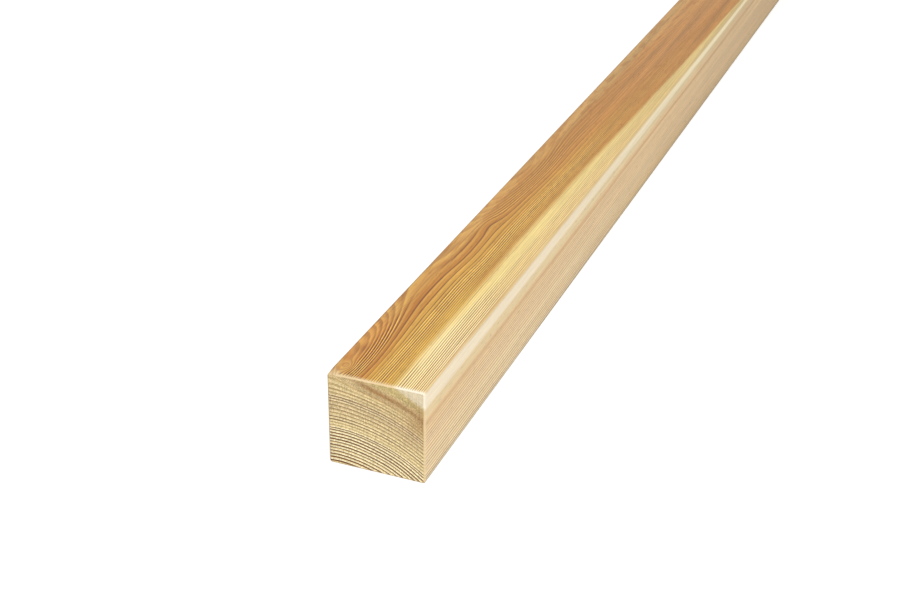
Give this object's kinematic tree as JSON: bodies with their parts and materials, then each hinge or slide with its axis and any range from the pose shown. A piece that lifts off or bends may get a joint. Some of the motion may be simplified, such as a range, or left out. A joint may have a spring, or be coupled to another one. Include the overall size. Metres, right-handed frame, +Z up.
{
  "type": "timber batten",
  "caption": "Planed square softwood batten with eased long edges and square-cut, eased ends, for framing, cladding support and general joinery.",
  "frame": {"origin": "middle of the underside, on the floor that the batten lies on", "axes": "+X along the grain, away from the end that faces the viewer; +Z up; -Y out of the long side that the picture shows"},
  "size_m": [2, 0.045, 0.045],
  "materials": {
    "larch": "planed, unfinished, satin"
  },
  "bodies": {
    "root": {"batten": "larch"}
  },
  "joints": []
}
